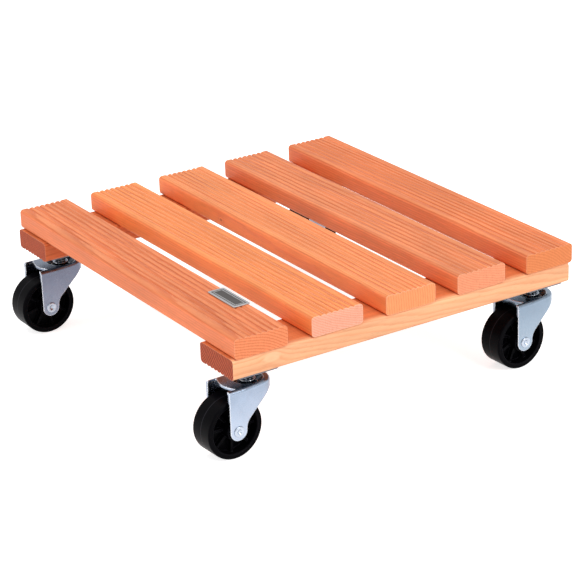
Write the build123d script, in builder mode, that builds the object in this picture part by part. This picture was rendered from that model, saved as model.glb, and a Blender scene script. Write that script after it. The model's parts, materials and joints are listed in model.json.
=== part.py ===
# Plant caddy: five ribbed wooden slats on two cross rails, carried by four swivel casters.
# All lengths are in millimetres. The origin is on the floor, under the centre of the overall box.
# +X runs along the slats, +Y runs across them towards the far side, +Z is up.
from build123d import *
from math import atan2, hypot, sqrt, tan
import os

os.makedirs("parts", exist_ok=True)

# Boards: the slats and the rails are cut from one planed and ribbed stock
board_width = 48.0
board_thickness = 17.0
board_round = 3.0
slat_length = 355.0
slat_count = 5
slat_gap = 22.25
rail_length = 328.0
rail_near_overhang = 2.1
groove_count = 7
groove_pitch = 5.1
groove_depth = 1.2
groove_lead = 2.2

# Screws that hold the slats from beneath, and the ones that hold the casters
deck_screw_length = 28.0
deck_screw_radius = 1.9
deck_screw_head_radius = 3.8
deck_screw_head_height = 2.2
deck_screw_spread_x = 22.0
deck_screw_spread_y = 18.0
plate_screw_length = 14.0
plate_screw_radius = 1.8
plate_screw_head_radius = 3.2
plate_screw_head_height = 1.6
screw_tip_length = 4.0

# Caster: where it stands and how far its wheel trails behind the swivel
caster_height = 71.4
caster_outset = 0.8
caster_trail = 20.0
wheel_radius = 25.0

# Top plate of the caster, with its pressed dish and boss
plate_side = 38.0
plate_corner = 4.0
plate_sheet = 2.0
plate_hole_spacing = 29.0
dish_radius = 16.2
dish_slope = 3.0
dish_depth = 3.4
dish_bevel = 0.8
boss_radius = 4.9
boss_depth = 5.4

# Fork, pressed from one sheet
fork_sheet = 2.2
fork_width = 32.6
crown_rear_radius = 14.0
crown_rear_shift = 4.5
crown_front_radius = 23.5
crown_dish_radius = 12.6
crown_dish_slope = 4.0
crown_dish_depth = 4.6
shoulder_round = 3.0
leg_crease = 7.5
leg_end_radius = 7.6
leg_rear_rise = 5.5
leg_rear_blend = 11.0
skirt_depth = 8.3
skirt_reach = 13.0
skirt_blend = 2.5
neck_radius = 6.6
neck_height = 4.3
neck_flare = 1.5

# Swivel bearing: two rings of balls in angled grooves, a lower cup and a king pin
upper_ball_radius = 0.9
upper_ball_count = 8
upper_ring_radius = 3.6
upper_gap = 1.1
lower_ball_radius = 1.2
lower_ball_count = 10
lower_ring_radius = 6.6
lower_gap = 1.8
cup_radius = 9.6
cup_sheet = 1.4
cup_rim_height = 1.3
pin_radius = 2.2
pin_head_radius = 4.4
pin_head_height = 1.4
pin_head_bevel = 0.7

# Wheel
tread_width = 23.0
tread_round = 1.4
rim_thickness = 4.5
rim_bevel = 0.6
web_thickness = 4.0
hub_radius = 8.8
rib_count = 8
rib_thickness = 1.9
rib_height = 4.2

# Axle: a tubular rivet with a rolled flange at each end
axle_radius = 3.0
axle_bore_radius = 2.2
axle_flange_radius = 4.7
axle_flange_height = 1.2
axle_flange_bevel = 0.6

# Badge: a thin bare metal plate on the near slat
badge_length = 40.0
badge_width = 15.2
badge_thickness = 0.9
badge_corner = 1.2
badge_end_distance = 72.5
badge_inset = 0.2

# Clearances
running_clearance = 0.05
side_clearance = 0.3
seat_clearance = 0.02
screw_hole_clearance = 0.02
blend_share = 0.95

# Places that follow from the sizes above
slat_pitch = board_width + slat_gap
deck_width = slat_count * board_width + (slat_count - 1) * slat_gap
deck_top = caster_height + 2 * board_thickness
rail_x = (slat_length - board_width) / 2
caster_x = rail_x + caster_outset
caster_reach_y = (deck_width - board_width) / 2
wheel_reach_y = caster_reach_y + caster_trail + wheel_radius
deck_y = (wheel_reach_y - deck_width / 2) / 2
rail_near_y = deck_y - deck_width / 2 - rail_near_overhang
slat_ys = [deck_y + (i - (slat_count - 1) / 2) * slat_pitch for i in range(slat_count)]
rail_xs = [-rail_x, rail_x]

# Heights in the caster, worked down from the rails
plate_underside = caster_height - plate_sheet
dish_bottom = plate_underside - dish_depth
boss_bottom = dish_bottom - boss_depth
neck_top = boss_bottom - upper_gap
crown_floor = neck_top - neck_height
crown_top = crown_floor + crown_dish_depth
race_underside = crown_floor - fork_sheet
cup_floor = race_underside - lower_gap
cup_underside = cup_floor - cup_sheet

# Widths in the fork
fork_gap = fork_width - 2 * fork_sheet
hub_width = fork_gap - 2 * side_clearance


def ribbed_board(plane, length):
    """One board on a plane through its near end: local x across it, local y out of its ribbed face."""
    half = board_width / 2
    valleys = [(i - (groove_count - 1) / 2) * groove_pitch for i in range(groove_count)]
    lead = valleys[-1] + groove_lead
    with BuildPart() as board:
        with BuildSketch(plane) as section:
            with BuildLine():
                Line((-half, 0), (-lead, 0))
                TangentArc((-lead, 0), (valleys[0], -groove_depth), tangent=(1, 0))
                for left, right in zip(valleys, valleys[1:]):
                    ThreePointArc((left, -groove_depth), ((left + right) / 2, 0), (right, -groove_depth))
                TangentArc((lead, 0), (valleys[-1], -groove_depth), tangent=(-1, 0))
                Line((lead, 0), (half, 0))
                Line((half, 0), (half, -board_thickness))
                Line((half, -board_thickness), (-half, -board_thickness))
                Line((-half, -board_thickness), (-half, 0))
            make_face()
            corners = section.vertices().group_by(Axis.X)
            fillet(corners[0] + corners[-1], board_round)
        extrude(amount=length)
    return board.part


def turned(profile):
    """A solid turned about +Z from a closed half profile of radius and height pairs."""
    with BuildPart() as piece:
        with BuildSketch(Plane.XZ):
            with BuildLine():
                Polyline(*profile, close=True)
            make_face()
        revolve(axis=Axis.Z)
    return piece.part


def deck_screw():
    """A countersunk screw that points up, with the face of its head at height 0."""
    return turned(
        [
            (0, 0),
            (deck_screw_head_radius, 0),
            (deck_screw_radius, deck_screw_head_height),
            (deck_screw_radius, deck_screw_length - screw_tip_length),
            (0, deck_screw_length),
        ]
    )


def plate_screw():
    """A countersunk screw that points up, with the face of its head at height 0."""
    return turned(
        [
            (0, 0),
            (plate_screw_head_radius, 0),
            (plate_screw_radius, plate_screw_head_height),
            (plate_screw_radius, plate_screw_length - screw_tip_length),
            (0, plate_screw_length),
        ]
    )


def plate_hole():
    """The countersunk hole for one plate screw, a clearance wider than the screw all round."""
    return turned(
        [
            (0, 0),
            (plate_screw_head_radius + screw_hole_clearance, 0),
            (plate_screw_radius + screw_hole_clearance, plate_screw_head_height),
            (plate_screw_radius + screw_hole_clearance, plate_sheet),
            (0, plate_sheet),
        ]
    )


def ball_groove(ring_radius, ball_radius, gap, face_height, direction):
    """An angled groove about +Z that lets a ring of balls sink into a face: direction 1 cuts upwards."""
    depth = ball_radius * sqrt(2) - gap / 2 + seat_clearance
    return turned(
        [
            (ring_radius - depth, face_height),
            (ring_radius, face_height + direction * depth),
            (ring_radius + depth, face_height),
        ]
    )


def balls(ring_radius, ball_radius, count, height):
    """A ring of separate balls about +Z."""
    with BuildPart() as ring:
        with Locations((0, 0, height)):
            with PolarLocations(ring_radius, count):
                Sphere(ball_radius)
    return ring.part


def wall_shift(sheet, slope, depth):
    """How far a sloping wall's inner line stands from its outer line, so that the sheet keeps its thickness."""
    return sheet * (hypot(slope, depth) - slope) / depth


def top_plate():
    """A square plate under a rail, with a deep round dish pressed down and a small boss below it."""
    plate_top = caster_height
    shift = wall_shift(plate_sheet, dish_slope, dish_depth)
    low_radius = dish_radius - dish_slope
    with BuildPart() as plate:
        with BuildSketch(Plane.XY.offset(plate_underside)):
            RectangleRounded(plate_side, plate_side, plate_corner)
            Circle(dish_radius, mode=Mode.SUBTRACT)
        extrude(amount=plate_sheet)
        for hole_x in (-plate_hole_spacing / 2, plate_hole_spacing / 2):
            for hole_y in (-plate_hole_spacing / 2, plate_hole_spacing / 2):
                place = Location((hole_x, hole_y, plate_underside))
                add(plate_hole().moved(place), mode=Mode.SUBTRACT)
        with BuildSketch(Plane.XZ) as section:
            with BuildLine():
                Polyline(
                    (dish_radius, plate_top),
                    (dish_radius, plate_underside),
                    (low_radius, dish_bottom),
                    (boss_radius, dish_bottom),
                    (boss_radius, boss_bottom),
                    (pin_radius, boss_bottom),
                    (pin_radius, boss_bottom + plate_sheet),
                    (boss_radius - plate_sheet, boss_bottom + plate_sheet),
                    (boss_radius - plate_sheet, dish_bottom + plate_sheet),
                    (low_radius - shift, dish_bottom + plate_sheet),
                    (dish_radius - shift, plate_top),
                    close=True,
                )
            make_face()
            chamfer(section.vertices().sort_by_distance((low_radius, dish_bottom))[0], dish_bevel)
        revolve(axis=Axis.Z)
        add(ball_groove(upper_ring_radius, upper_ball_radius, upper_gap, boss_bottom, 1), mode=Mode.SUBTRACT)
    return plate.part


def fork_shell(inset):
    """The fork's rounded cap, drawn in by an inset: flat flanks in front, tapering to a round rear."""
    front = -caster_trail - leg_end_radius - fork_sheet - inset
    crease = -caster_trail + leg_crease
    with BuildPart() as shell:
        with BuildSketch(Plane.XY):
            with Locations((0, (front + crease) / 2)):
                Rectangle(fork_width - 2 * inset, crease - front)
            with Locations((0, crown_rear_shift)):
                Circle(crown_rear_radius - inset)
            make_hull()
        extrude(amount=crown_top - inset)
        cap = shell.faces().sort_by(Axis.Z)[-1]
        front_edge = cap.edges().sort_by(Axis.Y)[0]
        rim = [edge for edge in cap.edges() if edge != front_edge]
        fillet(rim, shoulder_round - inset)
    return shell.part


def crown_dish(drop, shift):
    """The space of the crown's round dish, or with a drop and a shift the outside of its wall."""
    floor_radius = crown_dish_radius - crown_dish_slope + shift
    return turned(
        [
            (0, crown_floor + drop),
            (floor_radius, crown_floor + drop),
            (floor_radius + crown_dish_slope, crown_top + drop),
            (0, crown_top + drop),
        ]
    )


def fork():
    """A pressed fork: a crown with a dish and a raised neck, and two legs that fold down past the wheel."""
    leg_front = -caster_trail - leg_end_radius
    leg_rear = -caster_trail + leg_end_radius
    rear = crown_rear_shift + 2 * crown_rear_radius
    skirt = crown_top - skirt_depth
    slant = atan2(skirt_reach - leg_rear, skirt - wheel_radius - leg_rear_rise)
    wall_blend = blend_share * leg_rear_rise / tan(slant / 2)
    with BuildPart() as body:
        add(fork_shell(0))
        add(fork_shell(fork_sheet), mode=Mode.SUBTRACT)
        with BuildSketch(Plane.YZ) as side_view:
            with BuildLine():
                ThreePointArc(
                    (leg_front, wheel_radius),
                    (-caster_trail, wheel_radius - leg_end_radius),
                    (leg_rear, wheel_radius),
                )
                Polyline(
                    (leg_rear, wheel_radius),
                    (leg_rear, wheel_radius + leg_rear_rise),
                    (skirt_reach, skirt),
                    (rear, skirt),
                    (rear, crown_top),
                    (leg_front, crown_top),
                    (leg_front, wheel_radius),
                )
            make_face()
            rear_corners = side_view.vertices().sort_by_distance((leg_rear, wheel_radius + leg_rear_rise))
            fillet(rear_corners[0], min(leg_rear_blend, wall_blend))
            rim_corners = side_view.vertices().sort_by_distance((skirt_reach, skirt))
            fillet(rim_corners[0], skirt_blend)
        extrude(amount=fork_width, both=True, mode=Mode.INTERSECT)
        with BuildSketch(Plane.XY.offset(crown_top - fork_sheet)):
            with Locations((0, leg_front)):
                Rectangle(fork_width - 2 * shoulder_round, 2 * leg_end_radius)
            Circle(crown_front_radius, mode=Mode.SUBTRACT)
        extrude(amount=fork_sheet, mode=Mode.SUBTRACT)
        add(crown_dish(-fork_sheet, wall_shift(fork_sheet, crown_dish_slope, crown_dish_depth)))
        add(crown_dish(0, 0), mode=Mode.SUBTRACT)
        with BuildSketch(Plane.XY.offset(crown_floor)):
            Circle(neck_radius)
        extrude(amount=neck_height)
        rings = body.edges().filter_by(GeomType.CIRCLE)
        neck_rings = [ring for ring in rings if abs(ring.radius - neck_radius) < seat_clearance]
        neck_rings.sort(key=lambda ring: ring.center().Z)
        fillet(neck_rings[0], neck_flare)
        add(ball_groove(upper_ring_radius, upper_ball_radius, upper_gap, neck_top, -1), mode=Mode.SUBTRACT)
        add(ball_groove(lower_ring_radius, lower_ball_radius, lower_gap, race_underside, 1), mode=Mode.SUBTRACT)
        with Locations((0, 0, neck_top)):
            Hole(pin_radius + running_clearance)
        with Locations(Plane.YZ.offset(fork_width / 2)):
            with Locations((-caster_trail, wheel_radius)):
                Hole(axle_radius, depth=fork_width)
    return body.part


def king_pin():
    """A solid rivet through plate, fork and cup, with a head under the cup and one in the dish."""
    low = cup_underside - pin_head_height
    high = dish_bottom + plate_sheet
    with BuildPart() as pin:
        with BuildSketch(Plane.XY.offset(low)):
            Circle(pin_head_radius)
        extrude(amount=pin_head_height)
        chamfer(pin.edges().sort_by(Axis.Z)[0], pin_head_bevel)
        with BuildSketch(Plane.XY.offset(cup_underside)):
            Circle(pin_radius)
        extrude(amount=high - cup_underside)
        with BuildSketch(Plane.XY.offset(high)):
            Circle(pin_head_radius)
        extrude(amount=pin_head_height)
    return pin.part


def lower_cup():
    """A shallow cup on the king pin that carries the lower balls up against the crown."""
    with BuildPart() as cup:
        with BuildSketch(Plane.XY.offset(cup_underside)):
            Circle(cup_radius)
        extrude(amount=cup_sheet + cup_rim_height)
        with BuildSketch(Plane.XY.offset(cup_floor)):
            Circle(cup_radius - cup_sheet)
        extrude(amount=cup_rim_height, mode=Mode.SUBTRACT)
        add(ball_groove(lower_ring_radius, lower_ball_radius, lower_gap, cup_floor, -1), mode=Mode.SUBTRACT)
        with Locations((0, 0, cup_floor)):
            Hole(pin_radius)
    return cup.part


def wheel():
    """A moulded wheel about the X axis: tread and rim, a middle web with low ribs, and a long hub."""
    rim_radius = wheel_radius - rim_thickness
    with BuildPart() as body:
        with BuildSketch(Plane.XY) as half_section:
            with Locations((0, wheel_radius - rim_thickness / 2)):
                Rectangle(tread_width, rim_thickness)
            corners = half_section.vertices().group_by(Axis.Y)
            fillet(corners[-1], tread_round)
            chamfer(half_section.vertices().group_by(Axis.Y)[0], rim_bevel)
            with Locations((0, rim_radius / 2)):
                Rectangle(web_thickness, rim_radius)
            with Locations((0, hub_radius / 2)):
                Rectangle(hub_width, hub_radius)
        revolve(axis=Axis.X)
        with BuildSketch(Plane.YZ):
            with PolarLocations((hub_radius + rim_radius) / 2, rib_count):
                Rectangle(rim_radius - hub_radius + rim_thickness, rib_thickness)
        extrude(amount=web_thickness / 2 + rib_height, both=True)
        with Locations(Plane.YZ.offset(hub_width / 2)):
            Hole(axle_radius + running_clearance)
    return body.part


def axle():
    """A tube through both legs about the X axis, with a rolled flange outside each leg."""
    with BuildPart() as tube:
        with BuildSketch(Plane.YZ):
            Circle(axle_radius)
        extrude(amount=fork_width / 2, both=True)
        for side in (-1, 1):
            with BuildSketch(Plane.YZ.offset(side * fork_width / 2)):
                Circle(axle_flange_radius)
            extrude(amount=side * axle_flange_height)
        ends = tube.edges().group_by(Axis.X)
        chamfer(ends[0] + ends[-1], axle_flange_bevel)
        with Locations(Plane.YZ.offset(fork_width / 2 + axle_flange_height)):
            Hole(axle_bore_radius)
    return tube.part


def badge():
    """A thin bare plate at the far edge of the near slat."""
    centre_x = slat_length / 2 - badge_end_distance
    centre_y = slat_ys[0] + board_width / 2 - badge_inset - badge_width / 2
    with BuildPart() as plate:
        with BuildSketch(Plane.XY.offset(deck_top)):
            with Locations((centre_x, centre_y)):
                RectangleRounded(badge_length, badge_width, badge_corner)
        extrude(amount=badge_thickness)
    return plate.part


def copies(piece, places):
    """One group of separate copies of a piece."""
    return Compound([piece.moved(Location(place)) for place in places])


def write(piece, name):
    """Label a finished piece and write its file."""
    piece.label = name
    export_step(piece, f"parts/{name}.step")


# Casters: where each stands, how far it is turned at rest, and how far its wheel has rolled
casters = {
    "near_left": (-caster_x, deck_y - caster_reach_y, 0.0, 15.0),
    "near_right": (caster_x, deck_y - caster_reach_y, 2.5, -3.0),
    "far_left": (-caster_x, deck_y + caster_reach_y, -1.5, 8.0),
    "far_right": (caster_x, deck_y + caster_reach_y, 2.0, 22.5),
}

# Screws: two on a slant at each crossing of a slat and a rail, four to a caster
deck_screw_places = [
    (x + side * deck_screw_spread_x / 2, y - side * deck_screw_spread_y / 2, caster_height)
    for x in rail_xs
    for y in slat_ys
    for side in (-1, 1)
]
plate_screw_places = [
    (x + side_x * plate_hole_spacing / 2, y + side_y * plate_hole_spacing / 2, plate_underside)
    for x, y, turn, roll in casters.values()
    for side_x in (-1, 1)
    for side_y in (-1, 1)
]
deck_screws = copies(deck_screw(), deck_screw_places)
plate_screws = copies(plate_screw(), plate_screw_places)
write(deck_screws, "deck_screws")
write(plate_screws, "plate_screws")

# Slats: ribbed faces up, each with blind holes for its screws
for number, slat_y in enumerate(slat_ys, start=1):
    slat_end = Plane(origin=(-slat_length / 2, slat_y, deck_top), x_dir=(0, 1, 0), z_dir=(1, 0, 0))
    slat = ribbed_board(slat_end, slat_length) - deck_screws
    write(slat, f"slat_{number}")

# Rails: the same board with its ribbed face down, flush with the slats' ends
for name, centre_x in zip(("left", "right"), rail_xs):
    rail_end = Plane(origin=(centre_x, rail_near_y, caster_height), x_dir=(1, 0, 0), z_dir=(0, 1, 0))
    rail = ribbed_board(rail_end, rail_length) - deck_screws - plate_screws
    write(rail, f"rail_{name}")

write(badge(), "badge_plate")

# Pieces of one caster, each made once and placed four times
fixed_pieces = {
    "top_plate": top_plate(),
    "lower_cup": lower_cup(),
    "king_pin": king_pin(),
}
turning_pieces = {
    "upper_balls": balls(upper_ring_radius, upper_ball_radius, upper_ball_count, boss_bottom - upper_gap / 2),
    "fork": fork(),
    "lower_balls": balls(lower_ring_radius, lower_ball_radius, lower_ball_count, cup_floor + lower_gap / 2),
    "axle": axle().moved(Location((0, -caster_trail, wheel_radius))),
}
wheel_at_origin = wheel()
for corner, (x, y, turn, roll) in casters.items():
    stand = Location((x, y, 0))
    turned_stand = Location((x, y, 0), (0, 0, turn))
    hub_place = turned_stand * Location((0, -caster_trail, wheel_radius), (roll, 0, 0))
    for name, piece in fixed_pieces.items():
        write(piece.moved(stand), f"{corner}_{name}")
    for name, piece in turning_pieces.items():
        write(piece.moved(turned_stand), f"{corner}_{name}")
    write(wheel_at_origin.moved(hub_place), f"{corner}_wheel")
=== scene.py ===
import json
import math
import bmesh
import bpy
import numpy as np
from mathutils import Matrix, Vector


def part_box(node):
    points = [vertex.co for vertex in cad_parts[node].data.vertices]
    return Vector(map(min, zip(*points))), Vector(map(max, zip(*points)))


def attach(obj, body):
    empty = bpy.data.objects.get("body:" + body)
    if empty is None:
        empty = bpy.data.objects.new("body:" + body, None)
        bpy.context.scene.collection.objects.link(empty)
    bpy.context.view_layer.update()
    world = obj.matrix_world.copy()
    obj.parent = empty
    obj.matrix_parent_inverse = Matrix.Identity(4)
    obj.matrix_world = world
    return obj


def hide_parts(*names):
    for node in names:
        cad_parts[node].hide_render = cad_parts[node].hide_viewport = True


# The plant caddy's looks: oiled ribbed softwood, zinc plated casters, black moulded wheels.
# The scene is in metres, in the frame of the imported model. Shapes are worked out in mm, and MM
# turns them into metres.
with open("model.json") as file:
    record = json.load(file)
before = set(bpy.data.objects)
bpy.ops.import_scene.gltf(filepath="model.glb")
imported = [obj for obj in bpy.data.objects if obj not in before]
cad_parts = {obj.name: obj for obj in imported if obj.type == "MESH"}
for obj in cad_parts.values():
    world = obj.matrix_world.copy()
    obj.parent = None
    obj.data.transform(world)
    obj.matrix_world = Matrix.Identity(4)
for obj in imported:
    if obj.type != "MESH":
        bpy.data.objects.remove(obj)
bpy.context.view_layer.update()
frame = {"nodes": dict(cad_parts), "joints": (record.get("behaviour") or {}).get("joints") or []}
MM = 0.001

CORNERS = ("near_left", "near_right", "far_left", "far_right")
SLAT_COUNT = 5
joints = {joint["name"]: joint for joint in frame["joints"]}


def box_mm(node_name):
    """The lowest and highest corner of a CAD node at rest, in mm."""
    low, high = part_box(node_name)
    return np.array(low) / MM, np.array(high) / MM


def centre_mm(node_name):
    """The middle of a CAD node's box, in mm."""
    low, high = box_mm(node_name)
    return (low + high) / 2


DECK_TOP = box_mm("slat_1")[1][2]
RAIL_UNDERSIDE = box_mm("rail_left")[0][2]


# Surfaces

def grid_mesh(name, points, wrap_v=False, caps=False, smooth=True):
    """A mesh of quads over an array of points [u, v, xyz], or over several such grids stacked as
    [copy, u, v, xyz]. A wrapped v joins each ring's last point to its first; caps closes the first
    and last ring of each copy with one face."""
    rows, columns = points.shape[-3:-1]
    copies = points.size // (rows * columns * 3)
    index = np.arange(rows * columns).reshape(rows, columns)
    here, ahead = index[:-1], index[1:]
    if wrap_v:
        quads = np.stack([here, np.roll(here, -1, 1), np.roll(ahead, -1, 1), ahead], -1)
    else:
        quads = np.stack([here[:, :-1], here[:, 1:], ahead[:, 1:], ahead[:, :-1]], -1)
    step = np.arange(copies)[:, None, None] * rows * columns
    faces = (quads.reshape(1, -1, 4) + step).reshape(-1, 4).tolist()
    if caps:
        faces += (index[0][::-1] + step[:, 0]).tolist() + (index[-1] + step[:, 0]).tolist()
    mesh = bpy.data.meshes.new(name)
    mesh.from_pydata(points.reshape(-1, 3).tolist(), [], faces)
    mesh.polygons.foreach_set("use_smooth", np.full(len(mesh.polygons), smooth))
    outward = bmesh.new()
    outward.from_mesh(mesh)
    bmesh.ops.recalc_face_normals(outward, faces=outward.faces)
    outward.to_mesh(mesh)
    outward.free()
    mesh.update()
    return mesh


def turned_about_x(profile, steps):
    """Points of a profile of (distance along X, radius) pairs carried round the X axis:
    y = radius * cos(angle), z = radius * sin(angle)."""
    along, radius = np.asarray(profile, float).T
    angle = np.linspace(0, 2 * math.pi, steps, endpoint=False)
    y = radius[:, None] * np.cos(angle)
    z = radius[:, None] * np.sin(angle)
    return np.stack([np.broadcast_to(along[:, None], y.shape), y, z], -1)


def rounded_path(corners, radius, steps):
    """A closed profile with each corner replaced by a curve: the quadratic through the two points
    that stand the radius away from the corner, with the corner as its middle control point. No
    curve takes more than just under half of a side."""
    most_of_side = 0.48
    to_before = np.roll(corners, 1, 0) - corners
    to_after = np.roll(corners, -1, 0) - corners
    before_length = np.linalg.norm(to_before, axis=1)
    after_length = np.linalg.norm(to_after, axis=1)
    reach = np.minimum(radius, np.minimum(before_length, after_length) * most_of_side)
    start = corners + to_before * (reach / before_length)[:, None]
    end = corners + to_after * (reach / after_length)[:, None]
    t = np.linspace(0, 1, steps)[None, :, None]
    curve = (1 - t) ** 2 * start[:, None] + 2 * t * (1 - t) * corners[:, None] + t ** 2 * end[:, None]
    return curve.reshape(-1, 2)


def rounded_rectangle(half_x, half_y, corner, steps):
    """Points round a rectangle with quarter-circle corners, anticlockwise."""
    quarters = np.arange(4) * math.pi / 2
    turns = np.concatenate([np.linspace(start, start + math.pi / 2, steps) for start in quarters])
    x = np.repeat([1, -1, -1, 1], steps) * (half_x - corner) + corner * np.cos(turns)
    y = np.repeat([1, 1, -1, -1], steps) * (half_y - corner) + corner * np.sin(turns)
    return np.stack([x, y], -1)


def place_on_axle(points, corner):
    """Points about the X axis, in mm, set on a wheel's real axle: turned about Z to the axle's line
    and moved to its centre, in metres."""
    spin = joints[f"{corner}_spin"]
    turn = math.atan2(spin["axis"][1], spin["axis"][0])
    cosine, sine = math.cos(turn), math.sin(turn)
    x, y, z = np.moveaxis(points * MM, -1, 0)
    return np.stack([x * cosine - y * sine, x * sine + y * cosine, z], -1) + np.array(spin["pos_m"])


def keep(name, mesh, body, material, replaces):
    """Put a finished mesh in the scene as a piece that rides on a body in place of CAD nodes."""
    piece = bpy.data.objects.new(name, mesh)
    bpy.context.scene.collection.objects.link(piece)
    mesh.materials.append(material)
    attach(piece, body)
    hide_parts(*replaces)


# Shader helpers

def feed(tree, made, inputs):
    """Set a node's inputs, or link those that are given a socket. An input is named, with
    underscores or spaces, or numbered as i0, i1 and so on."""
    for key, value in inputs.items():
        numbered = key[0] == "i" and key[1:].isdigit()
        socket = made.inputs[int(key[1:]) if numbered else key.replace("_", " ")]
        if isinstance(value, bpy.types.NodeSocket):
            tree.links.new(value, socket)
        else:
            socket.default_value = value
    return made


def node(tree, kind, settings=None, **inputs):
    """Add a node of a kind, with its settings and its inputs."""
    made = tree.nodes.new("ShaderNode" + kind)
    for key, value in (settings or {}).items():
        setattr(made, key, value)
    return feed(tree, made, inputs)


def maths(tree, operation, a, b=0.0, c=None, clamp=False):
    """One step of arithmetic on two or three values."""
    values = {"i0": a, "i1": b} if c is None else {"i0": a, "i1": b, "i2": c}
    return node(tree, "Math", {"operation": operation, "use_clamp": clamp}, **values).outputs[0]


def rise(tree, value, start, slope):
    """0 up to the start, then growing by the slope until it is 1."""
    return maths(tree, "MULTIPLY", maths(tree, "SUBTRACT", value, start), slope, clamp=True)


def vector(tree, operation, a, b):
    """One step of arithmetic on two vectors."""
    return node(tree, "VectorMath", {"operation": operation}, i0=a, i1=b).outputs["Vector"]


def scaled(tree, a, factor):
    """A vector times a number."""
    return node(tree, "VectorMath", {"operation": "SCALE"}, i0=a, Scale=factor).outputs["Vector"]


def dot(tree, a, b):
    """How far one vector goes along another."""
    return node(tree, "VectorMath", {"operation": "DOT_PRODUCT"}, i0=a, i1=b).outputs["Value"]


def length(tree, a):
    """The length of a vector."""
    return node(tree, "VectorMath", {"operation": "LENGTH"}, i0=a).outputs["Value"]


def along_axis(tree, a, axis):
    """One of the three numbers of a vector: 0 for X, 1 for Y, 2 for Z."""
    return node(tree, "SeparateXYZ", i0=a).outputs[axis]


def noise(tree, where, scale=1.0, detail=2.0, roughness=0.5, stretch=None):
    """Smooth noise; a stretch multiplies the place first, so a small number draws it out."""
    if stretch:
        where = vector(tree, "MULTIPLY", where, stretch)
    return node(tree, "TexNoise", Vector=where, Scale=scale, Detail=detail, Roughness=roughness).outputs[0]


def blend(tree, factor, a, b, mode="MIX"):
    """A mix of two colours."""
    settings = {"data_type": "RGBA", "blend_type": mode}
    return node(tree, "Mix", settings, i0=factor, i6=a, i7=b).outputs[2]


def object_place(tree):
    """Where a point is in Object coordinates."""
    return node(tree, "TexCoord").outputs["Object"]


def object_normal(tree):
    """Which way a face points in Object coordinates."""
    return node(tree, "TexCoord").outputs["Normal"]


def srgb(red, green, blue):
    """A colour as it is seen on screen, 0 to 255, as linear light."""
    def linear(value):
        value /= 255
        return value / 12.92 if value <= 0.04045 else ((value + 0.055) / 1.055) ** 2.4
    return (linear(red), linear(green), linear(blue), 1.0)


def shaded(colour, amount):
    """A colour made darker or lighter by an amount."""
    return tuple(part * amount for part in colour[:3]) + (1.0,)


# Effects that several materials share

def new_group(name, inputs, outputs):
    """A shader node group with named sockets: inputs are (name, kind, default), outputs are names of
    values, or (name, kind). Gives the group, its inputs as sockets to read, and its end node."""
    group = bpy.data.node_groups.new(name, "ShaderNodeTree")
    for label, kind, default in inputs:
        socket = group.interface.new_socket(label, in_out="INPUT", socket_type="NodeSocket" + kind)
        socket.default_value = default
    for output in outputs:
        label, kind = (output, "Float") if isinstance(output, str) else output
        group.interface.new_socket(label, in_out="OUTPUT", socket_type="NodeSocket" + kind)
    return group, group.nodes.new("NodeGroupInput").outputs, group.nodes.new("NodeGroupOutput")


def make_growth_rings():
    """Growth rings of one tree in a board. Vector is in mm with X along the board. The distance from
    the pith, made uneven by slow and quick noise, is cut into rings; each ring darkens to its late
    wood and ends sharply."""
    slow_stretch, quick_stretch = (0.010, 0.045, 0.045), (0.05, 0.5, 0.5)
    quick_waviness = 0.9
    darkening = [(0.0, 0.0), (0.45, 0.12), (0.78, 0.85), (0.92, 1.0), (1.0, 0.15)]
    t, given, out = new_group(
        "growth rings",
        [("Vector", "Vector", (0, 0, 0)), ("Pith", "Vector", (0, 0, 0)), ("Lean", "Vector", (0, 0, 0)),
         ("Ring Width", "Float", 2.2), ("Waviness", "Float", 3.0), ("Push", "Float", 0.0)],
        ["Late Wood", "Ring Tone"])
    where = given["Vector"]
    lean = scaled(t, given["Lean"], along_axis(t, where, 0))
    centred = vector(t, "SUBTRACT", vector(t, "SUBTRACT", where, lean), given["Pith"])
    distance = length(t, vector(t, "MULTIPLY", centred, (0, 1, 1)))
    slow = maths(t, "SUBTRACT", noise(t, where, stretch=slow_stretch), 0.5)
    quick = maths(t, "SUBTRACT", noise(t, where, roughness=0.6, stretch=quick_stretch), 0.5)
    uneven = maths(t, "MULTIPLY", slow, given["Waviness"])
    uneven = maths(t, "ADD", uneven, maths(t, "MULTIPLY", quick, quick_waviness))
    pushed = maths(t, "ADD", maths(t, "ADD", distance, uneven), given["Push"])
    rings = maths(t, "DIVIDE", pushed, given["Ring Width"])
    late = node(t, "FloatCurve", Value=maths(t, "FRACT", rings))
    curve = late.mapping.curves[0]
    curve.points[0].location, curve.points[1].location = darkening[0], darkening[-1]
    for place in darkening[1:-1]:
        curve.points.new(*place)
    late.mapping.update()
    tone = node(t, "TexWhiteNoise", {"noise_dimensions": "1D"}, W=maths(t, "FLOOR", rings))
    feed(t, out, {"Late Wood": late.outputs[0], "Ring Tone": tone.outputs["Value"]})
    return t


def make_fibre():
    """Long fibres: noise drawn out along X and fine across it, with scattered short dark pores and
    broad patches. Vector is in mm."""
    t, given, out = new_group("wood fibre", [("Vector", "Vector", (0, 0, 0))], ["Streak", "Pore", "Patch"])
    where = given["Vector"]
    dots = noise(t, where, detail=1.0, stretch=(0.16, 3.2, 3.2))
    feed(t, out, {
        "Streak": noise(t, where, detail=5.0, roughness=0.65, stretch=(0.035, 1.5, 1.5)),
        "Pore": rise(t, dots, 0.64, 9.0),
        "Patch": noise(t, where, detail=3.0, roughness=0.55, stretch=(0.012, 0.05, 0.05))})
    return t


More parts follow.
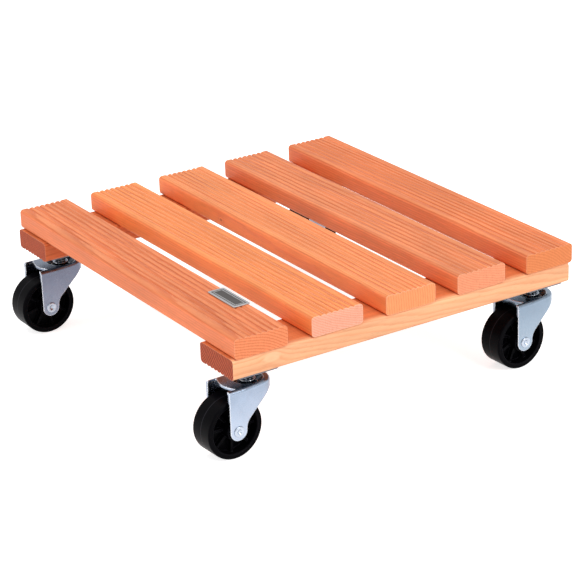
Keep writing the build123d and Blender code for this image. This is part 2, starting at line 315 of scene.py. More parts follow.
def make_groove_shade():
    """Where the grooves of a board's ribbed face get painted shade, by how deep a point lies below the
    face: 0 at the face, 1 at the bottom of a groove, and 0 again below the grooves. Vector is in mm,
    Face is the ribbed face's height, and Side is 1 for a face that looks up and -1 for one that looks down."""
    groove_depth, lowest_share = 1.2, 1.25
    t, given, out = new_group(
        "groove shade", [("Vector", "Vector", (0, 0, 0)), ("Face", "Float", 0.0), ("Side", "Float", 1.0)],
        ["Valley"])
    height = along_axis(t, given["Vector"], 2)
    below = maths(t, "MULTIPLY", maths(t, "SUBTRACT", given["Face"], height), given["Side"])
    share = maths(t, "DIVIDE", below, groove_depth)
    within = maths(t, "LESS_THAN", share, lowest_share)
    flat_on = rise(t, maths(t, "ABSOLUTE", along_axis(t, object_normal(t), 2)), 0.4, 4.0)
    depth = maths(t, "MULTIPLY", share, 1.0, clamp=True)
    feed(t, out, {"Valley": maths(t, "MULTIPLY", maths(t, "MULTIPLY", depth, flat_on), within)})
    return t


def make_sawn_end():
    """Where a face is an end cut across the fibres, from the object's own normal, with the fine
    upright score marks of the saw. Vector is in mm, Along is the way that the board runs."""
    t, given, out = new_group(
        "sawn end", [("Vector", "Vector", (0, 0, 0)), ("Along", "Vector", (1, 0, 0))],
        ["End", "Score", "Rough"])
    facing = maths(t, "ABSOLUTE", dot(t, object_normal(t), given["Along"]))
    feed(t, out, {
        "End": rise(t, facing, 0.75, 8.0),
        "Score": noise(t, given["Vector"], detail=3.0, roughness=0.6, stretch=(0.05, 1.4, 0.16)),
        "Rough": noise(t, given["Vector"], 1.6, 4.0, 0.7)})
    return t


def make_knot():
    """One knot: 1 inside an ellipsoid, falling to 0 towards its edge, and a push in mm that bends the
    rings past it, which falls with the square of the distance."""
    most_push = 5.0
    t, given, out = new_group(
        "knot",
        [("Vector", "Vector", (0, 0, 0)), ("Centre", "Vector", (0, 0, 0)), ("Size", "Vector", (6, 4, 4))],
        ["Core", "Push"])
    away = vector(t, "SUBTRACT", given["Vector"], given["Centre"])
    distance = length(t, vector(t, "DIVIDE", away, given["Size"]))
    squared = maths(t, "MULTIPLY", distance, distance)
    feed(t, out, {
        "Core": maths(t, "MULTIPLY", maths(t, "SUBTRACT", 1.0, distance), 3.0, clamp=True),
        "Push": maths(t, "DIVIDE", most_push, maths(t, "ADD", squared, 1.0))})
    return t


def make_tread_line():
    """The mould's parting line on a wheel: 1 within a hair of the wheel's middle plane, on the tread
    only, from the distance along the axle and the distance from it, and faint turning marks round
    the tread. Vector and Centre are in metres."""
    line_half_width, tread_inner_radius, marks_per_metre = 0.35 * MM, 24.6 * MM, 1500.0
    t, given, out = new_group(
        "tread line",
        [("Vector", "Vector", (0, 0, 0)), ("Centre", "Vector", (0, 0, 0)), ("Axle", "Vector", (1, 0, 0))],
        ["Line", "Round"])
    away = vector(t, "SUBTRACT", given["Vector"], given["Centre"])
    along = dot(t, away, given["Axle"])
    whole = length(t, away)
    squares = maths(t, "SUBTRACT", maths(t, "MULTIPLY", whole, whole), maths(t, "MULTIPLY", along, along))
    tread = rise(t, maths(t, "SQRT", squares), tread_inner_radius, 5000.0)
    off_line = maths(t, "DIVIDE", maths(t, "ABSOLUTE", along), line_half_width)
    near = maths(t, "SUBTRACT", 1.0, off_line, clamp=True)
    turned = maths(t, "MULTIPLY", along, marks_per_metre)
    marks = node(t, "TexNoise", {"noise_dimensions": "1D"}, W=turned, Scale=1.0, Detail=2.0).outputs[0]
    feed(t, out, {"Line": maths(t, "MULTIPLY", near, tread), "Round": maths(t, "MULTIPLY", marks, tread)})
    return t


def make_edge_wear_and_highlight():
    """How much an edge is rounded here: the angle between the plain normal and one smoothed over a
    small radius."""
    t, given, out = new_group("edge wear", [("Radius", "Float", 0.0005)], ["Edge", ("Soft Normal", "Vector")])
    soft = node(t, "Bevel", {"samples": 4}, Radius=given["Radius"]).outputs[0]
    same = dot(t, soft, node(t, "NewGeometry").outputs["Normal"])
    edge = maths(t, "MULTIPLY", maths(t, "SUBTRACT", 1.0, same), 5.0, clamp=True)
    feed(t, out, {"Edge": edge, "Soft Normal": soft})
    return t


def make_leg_and_dish_shade():
    """Painted shade on a fork: the faces that look up in a ring round the swivel axle, from the neck
    out to the dish's rim, which lie in shade under the plate. Also gives how high a point lies on the
    legs, 0 to 1, for the painted shade up the legs. Vector and Centre are in metres."""
    rim_radius, neck_radius = 13.0, 7.2
    leg_low, leg_rise = 25 * MM, 30 * MM
    t, given, out = new_group(
        "leg and dish shade", [("Vector", "Vector", (0, 0, 0)), ("Centre", "Vector", (0, 0, 0))],
        ["Dish", "Height"])
    away = vector(t, "SUBTRACT", given["Vector"], given["Centre"])
    radius = length(t, vector(t, "MULTIPLY", away, (1 / MM, 1 / MM, 0)))
    inside = maths(t, "SUBTRACT", rim_radius, radius, clamp=True)
    outside = maths(t, "SUBTRACT", radius, neck_radius, clamp=True)
    facing = maths(t, "MULTIPLY", along_axis(t, object_normal(t), 2), 3.0, clamp=True)
    ring = maths(t, "MULTIPLY", inside, outside)
    above = maths(t, "SUBTRACT", along_axis(t, given["Vector"], 2), leg_low)
    feed(t, out, {
        "Dish": maths(t, "MULTIPLY", ring, facing),
        "Height": maths(t, "DIVIDE", above, leg_rise, clamp=True)})
    return t


def make_satin_mottle():
    """Slow and fine unevenness of a plated or moulded surface, and the dust on what looks up."""
    t, given, out = new_group(
        "satin mottle", [("Slow Scale", "Float", 60.0), ("Fine Scale", "Float", 900.0)],
        ["Slow", "Fine", "Dust"])
    where = object_place(t)
    slow = noise(t, where, given["Slow Scale"], 3.0, 0.5)
    fine = noise(t, where, given["Fine Scale"], 3.0, 0.6)
    upward = maths(t, "MULTIPLY", along_axis(t, object_normal(t), 2), fine, clamp=True)
    feed(t, out, {"Slow": slow, "Fine": fine, "Dust": maths(t, "MULTIPLY", upward, slow)})
    return t


GROWTH_RINGS = make_growth_rings()
FIBRE = make_fibre()
GROOVE_SHADE = make_groove_shade()
SAWN_END = make_sawn_end()
KNOT = make_knot()
TREAD_LINE = make_tread_line()
EDGE_WEAR_AND_HIGHLIGHT = make_edge_wear_and_highlight()
LEG_AND_DISH_SHADE = make_leg_and_dish_shade()
SATIN_MOTTLE = make_satin_mottle()


def effect(tree, group, **inputs):
    """Place a shared effect in a material and give its outputs."""
    made = tree.nodes.new("ShaderNodeGroup")
    made.node_tree = group
    return feed(tree, made, inputs).outputs


def new_material(name, viewport):
    """An empty material with a Principled shader on its output."""
    material = bpy.data.materials.new(name)
    material.use_nodes = True
    material.diffuse_color = viewport
    tree = material.node_tree
    tree.nodes.clear()
    shader = node(tree, "BsdfPrincipled")
    node(tree, "OutputMaterial", Surface=shader.outputs[0])
    return material, tree, shader


def bump(tree, strength, distance, **inputs):
    """A normal bent by the slope of a height."""
    return node(tree, "Bump", Strength=strength, Distance=distance, **inputs).outputs[0]


# Wood

ORANGE_LATE = srgb(220, 116, 66)
RAIL_WOOD = (srgb(232, 134, 86), srgb(210, 108, 64))
RAIL_SAPWOOD = (srgb(244, 180, 134), srgb(238, 164, 117))
DARK_END = (srgb(188, 88, 56), srgb(122, 44, 26))
PORE = srgb(150, 72, 42)
TORN_FIBRE = srgb(255, 206, 170)
RED_KNOT = (0.36, 0.10, 0.04, 1.0)
PALE_KNOT = srgb(252, 200, 156)

# The oil's tint on the broad faces and on the narrow edges, and the painted shade in the grooves
FACE_TINT = (0.91, 0.865, 0.735, 1.0)
EDGE_TINT = (1.02, 0.82, 0.66, 1.0)
GROOVE_PAINTED_SHADE = (0.74, 0.50, 0.36, 1.0)


def board_side(t, board, across, ribbed_up, rings, fibre, colours, sapwood, streaks):
    """Colour of a board's long faces: early and late wood with the oil's tints and painted shade in
    the grooves, paler where the sapwood is, then uneven from ring to ring and along the fibres, with dark
    pores."""
    narrow = rise(t, maths(t, "ABSOLUTE", dot(t, object_normal(t), across)), 0.6, 3.0)
    late = maths(t, "MULTIPLY", rings["Late Wood"], maths(t, "MULTIPLY_ADD", narrow, -0.45, 1.0))
    side = blend(t, late, *colours)
    side = blend(t, 1.0, side, blend(t, narrow, FACE_TINT, EDGE_TINT), "MULTIPLY")
    face, up = (DECK_TOP, 1.0) if ribbed_up else (RAIL_UNDERSIDE, -1.0)
    # Painted shade: the grooves of the ribbed face are darkened
    groove = effect(t, GROOVE_SHADE, Vector=board, Face=face, Side=up)
    side = blend(t, maths(t, "MULTIPLY", groove["Valley"], 0.5), side, GROOVE_PAINTED_SHADE, "MULTIPLY")
    if sapwood:
        start, whole, pale_colours = sapwood
        pale = rise(t, along_axis(t, board, 1), start, 1 / (whole - start))
        side = blend(t, pale, side, blend(t, rings["Late Wood"], *pale_colours))
    tone = maths(t, "MULTIPLY_ADD", rings["Ring Tone"], 0.10, 0.95)
    tone = maths(t, "MULTIPLY", tone, maths(t, "MULTIPLY_ADD", fibre["Streak"], streaks, 1.0 - streaks / 2))
    tone = maths(t, "MULTIPLY", tone, maths(t, "MULTIPLY_ADD", fibre["Patch"], 0.5, 0.75))
    side = blend(t, 1.0, side, node(t, "CombineColor", i0=tone, i1=tone, i2=tone).outputs[0], "MULTIPLY")
    return blend(t, maths(t, "MULTIPLY", fibre["Pore"], 0.35), side, PORE)


def board_end(t, rings, cut, end_colours, rough_end):
    """Colour of a sawn end: the rings, scored by the saw and rough by an amount."""
    late = maths(t, "MULTIPLY", rings["Late Wood"], 0.35 + 0.8 * rough_end, clamp=True)
    score = maths(t, "MULTIPLY_ADD", cut["Score"], 1.1 * rough_end, 1.0 - 0.55 * rough_end)
    tone = maths(t, "MULTIPLY", score, maths(t, "MULTIPLY_ADD", cut["Rough"], rough_end, 1.0 - rough_end / 2))
    shade = node(t, "CombineColor", i0=tone, i1=tone, i2=tone).outputs[0]
    return blend(t, 1.0, blend(t, late, *end_colours), shade, "MULTIPLY")


def board_height(t, rings, fibre, cut):
    """Relief of a board: late wood and streaks stand up, pores lie deep, and sawn ends are rough."""
    height = maths(t, "MULTIPLY_ADD", rings["Late Wood"], 0.35, maths(t, "MULTIPLY", fibre["Streak"], 0.8))
    height = maths(t, "SUBTRACT", height, maths(t, "MULTIPLY", fibre["Pore"], 0.4))
    sawn = maths(t, "MULTIPLY_ADD", cut["Score"], 2.2, maths(t, "MULTIPLY", cut["Rough"], 1.6))
    return maths(t, "ADD", height, maths(t, "MULTIPLY", cut["End"], sawn))


def board_wood(name, lengthways, pith, lean, ring_width, colours, end_colours, knots=(), waviness=3.0,
               rough_end=0.4, streaks=0.5, sapwood=None, fuzz=0.25, knot_colour=RED_KNOT):
    """Oiled softwood for one board. Object coordinates in mm are turned so that X runs along the
    board. Its rings come from a pith outside or inside it, and its sawn ends show the same rings.
    Colours are pairs of early and late wood. Each knot is (centre, size). Sapwood is (where it starts,
    where it is whole, its colours) across the board. Fuzz is how pale the torn fibres are along the
    edges."""
    material, t, shader = new_material(name, colours[0])
    runs_x = lengthways == "X"
    along, across = ((1, 0, 0), (0, 1, 0)) if runs_x else ((0, 1, 0), (1, 0, 0))
    where = object_place(t)
    turned = node(t, "CombineXYZ", X=dot(t, where, along), Y=dot(t, where, across), Z=along_axis(t, where, 2))
    board = scaled(t, turned.outputs[0], 1 / MM)
    push, core = 0.0, 0.0
    for centre, size in knots:
        knot = effect(t, KNOT, Vector=board, Centre=centre, Size=size)
        push = maths(t, "ADD", knot["Push"], push)
        core = maths(t, "MAXIMUM", knot["Core"], core)
    rings = effect(t, GROWTH_RINGS, Vector=board, Pith=pith, Lean=lean, Ring_Width=ring_width,
                   Waviness=waviness, Push=push)
    fibre = effect(t, FIBRE, Vector=board)
    cut = effect(t, SAWN_END, Vector=board, Along=along)
    wear_and_highlight = effect(t, EDGE_WEAR_AND_HIGHLIGHT, Radius=1.2 * MM)
    side = board_side(t, board, across, runs_x, rings, fibre, colours, sapwood, streaks)
    colour = blend(t, cut["End"], side, board_end(t, rings, cut, end_colours, rough_end))
    if knots:
        colour = blend(t, maths(t, "MULTIPLY", core, 0.6), colour, knot_colour)
    fuzzy = maths(t, "MULTIPLY_ADD", cut["Rough"], fuzz * 2, 0.05)
    torn = maths(t, "MULTIPLY", wear_and_highlight["Edge"], fuzzy, clamp=True)
    satin = maths(t, "MULTIPLY_ADD", rings["Late Wood"], -0.10, 0.56)
    feed(t, shader, {
        "Base Color": blend(t, torn, colour, TORN_FIBRE),
        "Roughness": maths(t, "MAXIMUM", satin, maths(t, "MULTIPLY", cut["End"], 0.8)),
        "Specular IOR Level": 0.35,
        "Normal": bump(t, 0.5, 0.35 * MM, Height=board_height(t, rings, fibre, cut))})
    return material


board_looks = {
    "slat_1": board_wood(
        "wood of slat 1", "X", pith=(0, -158, 20), lean=(0, 0.004, -0.02), ring_width=2.3,
        colours=(srgb(238, 146, 102), ORANGE_LATE), end_colours=(srgb(246, 146, 98), srgb(212, 106, 64)),
        knots=[((-25.8, -121.5, 104), (1.6, 1.0, 2.0)), ((0.6, -116.6, 104), (1.4, 0.9, 2.0))]),
    "slat_2": board_wood(
        "wood of slat 2", "X", pith=(0, -20, 190), lean=(0, 0.01, 0.0), ring_width=1.9,
        colours=(srgb(252, 158, 98), srgb(234, 132, 74)),
        end_colours=(srgb(250, 176, 148), srgb(234, 148, 118)), rough_end=0.5, fuzz=0.8),
    "slat_3": board_wood(
        "wood of slat 3", "X", pith=(0, -150, 82), lean=(0, -0.012, 0.01), ring_width=2.3,
        colours=(srgb(250, 160, 106), srgb(230, 128, 78)),
        end_colours=(srgb(250, 162, 108), srgb(232, 130, 78)), fuzz=0.6,
        knots=[((-171.5, -13.5, 89.3), (4, 3, 3)), ((-70.5, -13.5, 95.3), (2.2, 2, 1.4))]),
    "slat_4": board_wood(
        "wood of slat 4", "X", pith=(0, 120, 215), lean=(0, 0.0, 0.012), ring_width=2.0,
        colours=(srgb(238, 148, 102), srgb(218, 120, 78)),
        end_colours=(srgb(248, 158, 118), srgb(230, 134, 94)), rough_end=0.5, fuzz=0.4),
    "slat_5": board_wood(
        "wood of slat 5", "X", pith=(0, 110, 30), lean=(0, 0.012, 0.0), ring_width=2.2,
        colours=(srgb(238, 144, 98), ORANGE_LATE), end_colours=(srgb(232, 138, 84), srgb(212, 114, 66)),
        rough_end=0.3),
    "rail_left": board_wood(
        "wood of the left rail", "Y", pith=(0, -190, 40), lean=(0, 0.01, 0.02), ring_width=2.2,
        colours=RAIL_WOOD, end_colours=DARK_END, rough_end=0.7),
    "rail_right": board_wood(
        "wood of the right rail", "Y", pith=(0, 60, 136), lean=(0, 0.04, -0.03), ring_width=2.0,
        colours=RAIL_WOOD, end_colours=DARK_END, rough_end=0.8, waviness=6.0, streaks=0.35,
        knots=[((-120.9, 177.5, 82.6), (9, 6, 4.4))], knot_colour=PALE_KNOT,
        sapwood=(170, 176.5, RAIL_SAPWOOD)),
}
for board_name, look in board_looks.items():
    frame["nodes"][board_name].material_slots[0].material = look


# Metal and plastic

PALE_ZINC, ZINC_EDGE_HIGHLIGHT = srgb(226, 232, 240), srgb(238, 240, 244)
UPPER_LEG_SHADE, DISH_SHADE_COLOUR = (0.50, 0.55, 0.61, 1.0), srgb(44, 54, 62)
BLACK, BLACK_EDGE_HIGHLIGHT = (srgb(2, 2, 3), srgb(7, 6, 10)), srgb(66, 64, 72)
DUST, PARTING_LINE_HIGHLIGHT = srgb(110, 104, 100), srgb(70, 68, 76)
BARE_SHEET = (srgb(150, 150, 153), srgb(196, 196, 199))
SHEET_EDGE, PRESSED_FIELD = srgb(226, 224, 220), srgb(58, 50, 46)


def zinc_plate(name, colour, roughness, edge_radius, swivel=None):
    """Bright zinc over smooth steel: blue-grey, a little uneven, with painted highlights on its edges. A
    fork's zinc also has painted shade: darker up its legs, and dark in the dish round its swivel joint."""
    material, t, shader = new_material(name, colour)
    mottle = effect(t, SATIN_MOTTLE, Slow_Scale=70.0, Fine_Scale=1100.0)
    wear_and_highlight = effect(t, EDGE_WEAR_AND_HIGHLIGHT, Radius=edge_radius)
    speckle = rise(t, mottle["Fine"], 0.3, 2.2)
    base = blend(t, rise(t, mottle["Slow"], 0.3, 2.0), shaded(colour, 0.90), shaded(colour, 1.06))
    base = blend(t, maths(t, "MULTIPLY", speckle, 0.16), base, PALE_ZINC)
    if swivel:
        fork = effect(t, LEG_AND_DISH_SHADE, Vector=object_place(t), Centre=swivel["pos_m"])
        # Painted shade: darker up the legs, and dark in the dish round the swivel joint under the plate
        base = blend(t, maths(t, "MULTIPLY", fork["Height"], 0.6), base, UPPER_LEG_SHADE, "MULTIPLY")
        base = blend(t, maths(t, "MULTIPLY", fork["Dish"], 0.85), base, DISH_SHADE_COLOUR)
    feed(t, shader, {
        # Painted highlight on the rounded edges
        "Base Color": blend(t, wear_and_highlight["Edge"], base, ZINC_EDGE_HIGHLIGHT),
        "Metallic": 1.0,
        "Roughness": maths(t, "MULTIPLY_ADD", speckle, 0.12, roughness - 0.06),
        "Normal": bump(t, 0.3, 0.08 * MM, Height=mottle["Fine"], Normal=wear_and_highlight["Soft Normal"])})
    return material


def moulded_black(name, corner):
    """Black moulded plastic of one wheel: semi gloss, with a faint skin texture, painted highlights on
    its rounded edges, and the mould's parting line round the tread, painted lighter as a highlight."""
    material, t, shader = new_material(name, srgb(14, 14, 17))
    mottle = effect(t, SATIN_MOTTLE, Slow_Scale=45.0, Fine_Scale=1500.0)
    wear_and_highlight = effect(t, EDGE_WEAR_AND_HIGHLIGHT, Radius=0.6 * MM)
    spin = joints[f"{corner}_spin"]
    tread = effect(t, TREAD_LINE, Vector=object_place(t), Centre=spin["pos_m"], Axle=spin["axis"])
    base = blend(t, mottle["Slow"], *BLACK)
    # Painted highlight on the rounded edges of the wheel
    base = blend(t, maths(t, "MULTIPLY", wear_and_highlight["Edge"], 0.5), base, BLACK_EDGE_HIGHLIGHT)
    base = blend(t, maths(t, "MULTIPLY", mottle["Dust"], 0.012), base, DUST)
    # The parting line is painted lighter: a painted highlight on its ridge
    base = blend(t, maths(t, "MULTIPLY", tread["Line"], 0.6), base, PARTING_LINE_HIGHLIGHT)
    height = maths(t, "ADD", mottle["Fine"], maths(t, "MULTIPLY_ADD", tread["Line"], 3.0, tread["Round"]))
    feed(t, shader, {
        "Base Color": base,
        "Specular IOR Level": 0.025,
        "Roughness": maths(t, "MULTIPLY_ADD", mottle["Slow"], 0.16, 0.26),
        "Normal": bump(t, 0.2, 0.08 * MM, Height=height, Normal=wear_and_highlight["Soft Normal"])})
    return material


def bare_plate(name):
    """Bare satin sheet for the badge: brushed lengthways, with bright edges, and darkened where the
    mesh's attribute marks the pressed field."""
    material, t, shader = new_material(name, srgb(176, 176, 178))
    lines = noise(t, object_place(t), detail=3.0, roughness=0.6, stretch=(60, 4000, 4000))
    mottle = effect(t, SATIN_MOTTLE, Slow_Scale=120.0, Fine_Scale=1500.0)
    wear_and_highlight = effect(t, EDGE_WEAR_AND_HIGHLIGHT, Radius=0.4 * MM)
    field = node(t, "Attribute", {"attribute_name": "field"}).outputs["Fac"]
    base = blend(t, maths(t, "MULTIPLY", field, 0.92), blend(t, lines, *BARE_SHEET), PRESSED_FIELD)
    feed(t, shader, {
        "Base Color": blend(t, maths(t, "MULTIPLY", wear_and_highlight["Edge"], 0.7), base, SHEET_EDGE),
        "Metallic": 1.0,
        "Roughness": maths(t, "MULTIPLY_ADD", mottle["Slow"], 0.2, 0.26),
        "Normal": bump(t, 0.25, 0.05 * MM, Height=lines, Normal=wear_and_highlight["Soft Normal"])})
    return material


# Lit and shaded copies of one zinc: each fork is painted lighter or darker by how the light falls on its
# corner
FORK_LIT_AND_SHADED_ZINC = {
    "near_left": srgb(124, 134, 154), "near_right": srgb(168, 181, 200),
    "far_left": srgb(140, 154, 168), "far_right": srgb(146, 162, 178)}
# The top plates and lower cups are painted dark: painted shade under the deck
SHADED_PLATE_ZINC = zinc_plate("zinc on plates darkened as painted shade", srgb(76, 80, 88), roughness=0.34, edge_radius=0.3 * MM)
RIVET_ZINC = zinc_plate("zinc on rivets", srgb(176, 186, 200), roughness=0.26, edge_radius=0.3 * MM)
SCREW_ZINC = zinc_plate("zinc on screws", srgb(190, 190, 186), roughness=0.32, edge_radius=0.2 * MM)
BALL_STEEL = zinc_plate("polished ball steel", srgb(200, 202, 206), roughness=0.12, edge_radius=0.1 * MM)
BARE_METAL = bare_plate("bare badge metal")

for corner in CORNERS:
    swivel = joints[f"{corner}_swivel"]
    caster_looks = {
        "fork": zinc_plate(f"zinc on the {corner} fork", FORK_LIT_AND_SHADED_ZINC[corner], roughness=0.24,
                           edge_radius=1.2 * MM, swivel=swivel),
        "top_plate": SHADED_PLATE_ZINC, "lower_cup": SHADED_PLATE_ZINC, "king_pin": RIVET_ZINC,
        "upper_balls": BALL_STEEL, "lower_balls": BALL_STEEL,
        "wheel": moulded_black(f"black plastic of the {corner} wheel", corner)}
    for part, look in caster_looks.items():
        frame["nodes"][f"{corner}_{part}"].material_slots[0].material = look


# New pieces, in mm

def rolled_axle(corner):
    """The axle rivet: a bar through both legs with a rolled, rounded flange at each end and a shallow
    dished eye in it. Half of its closed section, with rounded corners, is mirrored and carried
    round the axle."""
    leg_face, flange_height, bar_radius = 16.3, 1.2, 3.0
    reach = leg_face + flange_height
    corner_steps, around = 6, 64
    outline = np.array([
        (reach - 1.5, 0.02, 0.02), (reach - 1.3, 1.3, 0.8), (reach - 0.15, 2.3, 0.5), (reach, 3.4, 0.8),
        (reach - 0.3, 4.4, 0.4), (leg_face + 0.02, 4.68, 0.1), (leg_face, bar_radius, 0.1),
        (0.0, bar_radius, 0.1)])
    section = rounded_path(outline[:, :2], outline[:, 2], corner_steps)
    half = section[corner_steps // 2:-corner_steps // 2]
    whole = np.concatenate([half, half[::-1] * (-1, 1)])
    points = place_on_axle(turned_about_x(whole, around), corner)
    return grid_mesh(f"{corner}_rolled_axle", points, wrap_v=True, caps=True)


def driven_screws(name, places, head_radius, head_height, shank_radius, screw_length):
    """Countersunk wood screws that point up from their places. Going out from the middle of the head:
    the face, sunk by a cross of two arms that tapers to nothing at the arms' ends; the cone; the
    shank, whose radius rises and falls as a saw tooth of height and angle together, which makes the
    thread; and the tip."""
    around, face_rings, shank_rings = 32, 12, 56
    pole_radius, rim_width, rim_height = 0.05, 0.1, 0.15
    tip_length, half_tip_length = 3.0, 1.2
    recess_depth, arm_half_width, arm_taper, arm_reach, reach_taper = 1.5, 0.75, 0.3, 0.62, 0.8
    thread_pitch, thread_depth, thread_start, thread_stop = 1.8, 0.45, 1.0, 2.9
    angle = np.linspace(0, 2 * math.pi, around, endpoint=False)
    face = np.linspace(pole_radius, head_radius - rim_width, face_rings)
    shank = np.full(shank_rings, shank_radius)
    rings = np.concatenate([face, [head_radius], shank, [shank_radius / 2, pole_radius]])
    rise_of_shank = np.linspace(head_height, screw_length - tip_length, shank_rings)
    heights = np.concatenate([
        np.zeros(face_rings), [rim_height], rise_of_shank, [screw_length - half_tip_length, screw_length]])
    radius, height = np.broadcast_arrays(rings[:, None], heights[:, None] + 0 * angle)
    off_arm = np.minimum(abs(radius * np.cos(angle)), abs(radius * np.sin(angle)))
    arm = np.clip((arm_half_width - off_arm) / arm_taper, 0, 1)
    within_reach = np.clip((arm_reach * head_radius - radius) / reach_taper, 0, 1)
    sunk = recess_depth * arm * within_reach * (height <= 0)
    saw_tooth = (height / thread_pitch - angle / (2 * math.pi)) % 1.0
    threaded = (height > head_height + thread_start) & (height < screw_length - thread_stop)
    cut_radius = radius - np.where(threaded, thread_depth * abs(saw_tooth - 0.5) * 2, 0.0)
    one = np.stack([cut_radius * np.cos(angle), cut_radius * np.sin(angle), height + sunk], -1)
    points = (one[None] + np.asarray(places, float)[:, None, None, :]) * MM
    return grid_mesh(name, points, wrap_v=True, caps=True)


def pressed_badge():
    """The badge: a thin plate with softened edges, a border, and a plain field pressed down inside a
    raised line. Rings of a rounded rectangle, each (drawn in, height, 1 in the field), run from the
    underside over the border and down to the field."""
    low, high = box_mm("badge_plate")
    middle = (low + high)[:2] / 2
    half_x, half_y = (high - low)[:2] / 2
    bottom, top = low[2], high[2]
    pressed, line_top = top - 0.25, top - 0.04
    corner_radius, least_radius, corner_steps = 1.2, 0.5, 6
    rings = [
        (0.25, bottom, 0), (0.0, bottom + 0.2, 0), (0.0, top - 0.3, 0), (0.08, top - 0.1, 0), (0.3, top, 0),
        (1.7, top, 0), (1.9, top - 0.03, 0), (2.1, top - 0.22, 1), (2.3, pressed, 1), (3.1, pressed, 1),
        (3.3, line_top, 0), (3.7, line_top, 0), (3.9, pressed, 1), (6.5, pressed, 1)]
    around = 4 * corner_steps
    points = np.stack([np.concatenate([
        rounded_rectangle(half_x - inset, half_y - inset, max(corner_radius - inset, least_radius),
                          corner_steps) + middle,
        np.full((around, 1), height)], 1) for inset, height, _ in rings])
    mesh = grid_mesh("pressed_badge", points * MM, wrap_v=True, caps=True, smooth=False)
    field = mesh.attributes.new("field", "FLOAT", "POINT")
    field.data.foreach_set("value", np.repeat([float(in_field) for _, _, in_field in rings], around))
    return mesh


for corner in CORNERS:
    keep(f"{corner}_rolled_axle", rolled_axle(corner), f"{corner}_swivel", RIVET_ZINC,
         [f"{corner}_axle"])

# Screws stand at the corners of each caster's plate, and in slanting pairs where slats cross rails
PLATE_HOLE_REACH, PAIR_REACH_X, PAIR_REACH_Y = 14.5, 11.0, 9.0
plate_underside = box_mm("plate_screws")[0][2]
caster_middles = [np.array(joints[f"{corner}_swivel"]["pos_m"][:2]) / MM for corner in CORNERS]
plate_places = [
    (x + dx * PLATE_HOLE_REACH, y + dy * PLATE_HOLE_REACH, plate_underside)
    for x, y in caster_middles for dx in (-1, 1) for dy in (-1, 1)]
rail_middles = [centre_mm(f"rail_{side}")[0] for side in ("left", "right")]
slat_middles = [centre_mm(f"slat_{number}")[1] for number in range(1, SLAT_COUNT + 1)]
deck_places = [
    (x + slant * PAIR_REACH_X, y - slant * PAIR_REACH_Y, RAIL_UNDERSIDE)
    for x in rail_middles for y in slat_middles for slant in (-1, 1)]
plate_screws = driven_screws("plate_screws_driven", plate_places, head_radius=3.2, head_height=1.6,
                             shank_radius=1.8, screw_length=14.0)
deck_screws = driven_screws("deck_screws_driven", deck_places, head_radius=3.8, head_height=2.2,
                            shank_radius=1.9, screw_length=28.0)
keep("plate_screws_driven", plate_screws, "deck", SCREW_ZINC, ["plate_screws"])
keep("deck_screws_driven", deck_screws, "deck", SCREW_ZINC, ["deck_screws"])
keep("pressed_badge", pressed_badge(), "deck", BARE_METAL, ["badge_plate"])


# Floor, world, light and camera, in metres

WHITE = (1, 1, 1, 1)
FLOOR_GREY, FLOOR_GLOW, FLOOR_REACH = (0.8, 0.8, 0.8, 1.0), 0.72, 30.0
SKY_LIGHT, SKY_SEEN = 0.58, 1.0


def seen_by_eye(tree):
    """1 for a ray that comes straight from the eye, or by way of a gloss or a clear thing."""
    path = node(tree, "LightPath").outputs
    by_way = maths(tree, "MAXIMUM", path["Is Glossy Ray"], path["Is Transmission Ray"])
    return maths(tree, "MAXIMUM", path["Is Camera Ray"], by_way)


def white_floor():
    """A pale floor that is white to the eye where nothing shades it, keeps the soft shadow, and is
    clear to an eye below it, so that the underside can be looked at."""
    material, t, shader = new_material("pale floor", WHITE)
    feed(t, shader, {"Base Color": FLOOR_GREY, "Roughness": 1.0, "Specular IOR Level": 0.0})
    glow = node(t, "Emission", Color=WHITE, Strength=maths(t, "MULTIPLY", seen_by_eye(t), FLOOR_GLOW))
    both = node(t, "AddShader", i0=shader.outputs[0], i1=glow.outputs[0])
    eye_ray = node(t, "LightPath").outputs["Is Camera Ray"]
    from_below = maths(t, "MULTIPLY", node(t, "NewGeometry").outputs["Backfacing"], eye_ray)
    clear = node(t, "BsdfTransparent")
    one_sided = node(t, "MixShader", i0=from_below, i1=both.outputs[0], i2=clear.outputs[0])
    output = next(each for each in t.nodes if each.type == "OUTPUT_MATERIAL")
    t.links.new(one_sided.outputs[0], output.inputs["Surface"])
    return material


floor_line = [-FLOOR_REACH, FLOOR_REACH]
floor_points = np.stack(np.meshgrid(floor_line, floor_line, 0.0, indexing="ij"), -1)[:, :, 0]
floor_mesh = grid_mesh("floor", floor_points)
floor_mesh.flip_normals()  # a flat grid comes out facing down
floor = bpy.data.objects.new("floor", floor_mesh)
floor_mesh.materials.append(white_floor())
bpy.context.scene.collection.objects.link(floor)

world = bpy.data.worlds.new("studio")
bpy.context.scene.world = world
world.use_nodes = True
sky_tree = world.node_tree
sky_tree.nodes.clear()
sky_strength = maths(sky_tree, "MULTIPLY_ADD", seen_by_eye(sky_tree), SKY_SEEN - SKY_LIGHT, SKY_LIGHT)
sky = node(sky_tree, "Background", Color=WHITE, Strength=sky_strength)
node(sky_tree, "OutputWorld", Surface=sky.outputs[0])


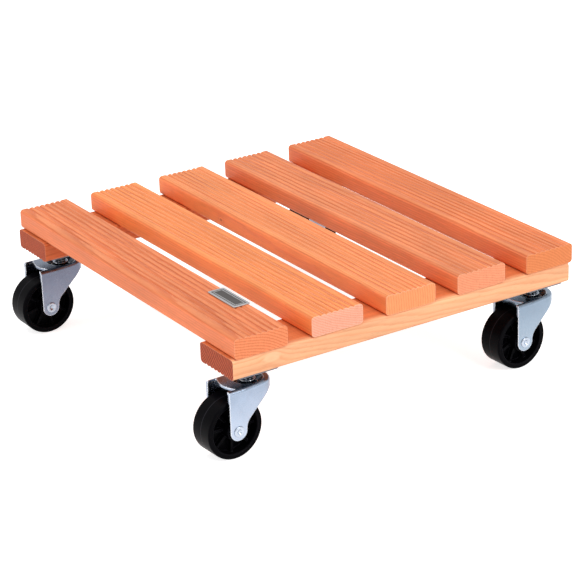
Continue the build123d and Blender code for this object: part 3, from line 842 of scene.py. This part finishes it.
def softbox(name, place, size, power):
    """A square lamp that looks at the middle of the caddy."""
    caddy_middle = Vector((0, 0, 0.08))
    lamp = bpy.data.lights.new(name, "AREA")
    lamp.shape, lamp.size, lamp.energy = "SQUARE", size, power
    holder = bpy.data.objects.new(name, lamp)
    holder.location = place
    holder.rotation_euler = (caddy_middle - Vector(place)).to_track_quat("-Z", "Y").to_euler()
    bpy.context.scene.collection.objects.link(holder)


softbox("key", place=(2.2, 0.5, 1.6), size=1.2, power=36)
softbox("top", place=(-0.3, -0.6, 2.6), size=1.6, power=22)
softbox("front", place=(-0.6, -2.4, 1.0), size=1.4, power=16)

# The camera is set by the edges of the boards and wheels: angles in degrees, lengths in mm
AZIMUTH, ELEVATION, ROLL = 57.47, 22.52, -1.92
DISTANCE, SHIFT_RIGHT, SHIFT_UP = 1912.6, 3.49, -56.26
FOCAL_PIXELS, FRAME_PIXELS, SENSOR_WIDTH = 2248.25, 584.0, 36.0
azimuth, elevation, roll = (math.radians(angle) for angle in (AZIMUTH, ELEVATION, ROLL))
level_back = Vector((math.sin(azimuth), -math.cos(azimuth), 0))
back = level_back * math.cos(elevation) + Vector((0, 0, math.sin(elevation)))
level = Vector((math.cos(azimuth), math.sin(azimuth), 0))
upright = back.cross(level)
right = level * math.cos(roll) + upright * math.sin(roll)
up = upright * math.cos(roll) - level * math.sin(roll)
deck_middle = Vector((*centre_mm("slat_3")[:2], DECK_TOP))
spot = (deck_middle + back * DISTANCE + right * SHIFT_RIGHT + up * SHIFT_UP) * MM
camera = bpy.data.objects.new("camera", bpy.data.cameras.new("camera"))
bpy.context.scene.collection.objects.link(camera)
camera.data.sensor_width = SENSOR_WIDTH
camera.data.lens = FOCAL_PIXELS * SENSOR_WIDTH / FRAME_PIXELS
camera.data.clip_start, camera.data.clip_end = 0.05, 100.0
camera.matrix_world = Matrix.Translation(spot) @ Matrix((right, up, back)).transposed().to_4x4()
bpy.context.scene.camera = camera
bpy.context.scene.view_settings.view_transform = "Standard"
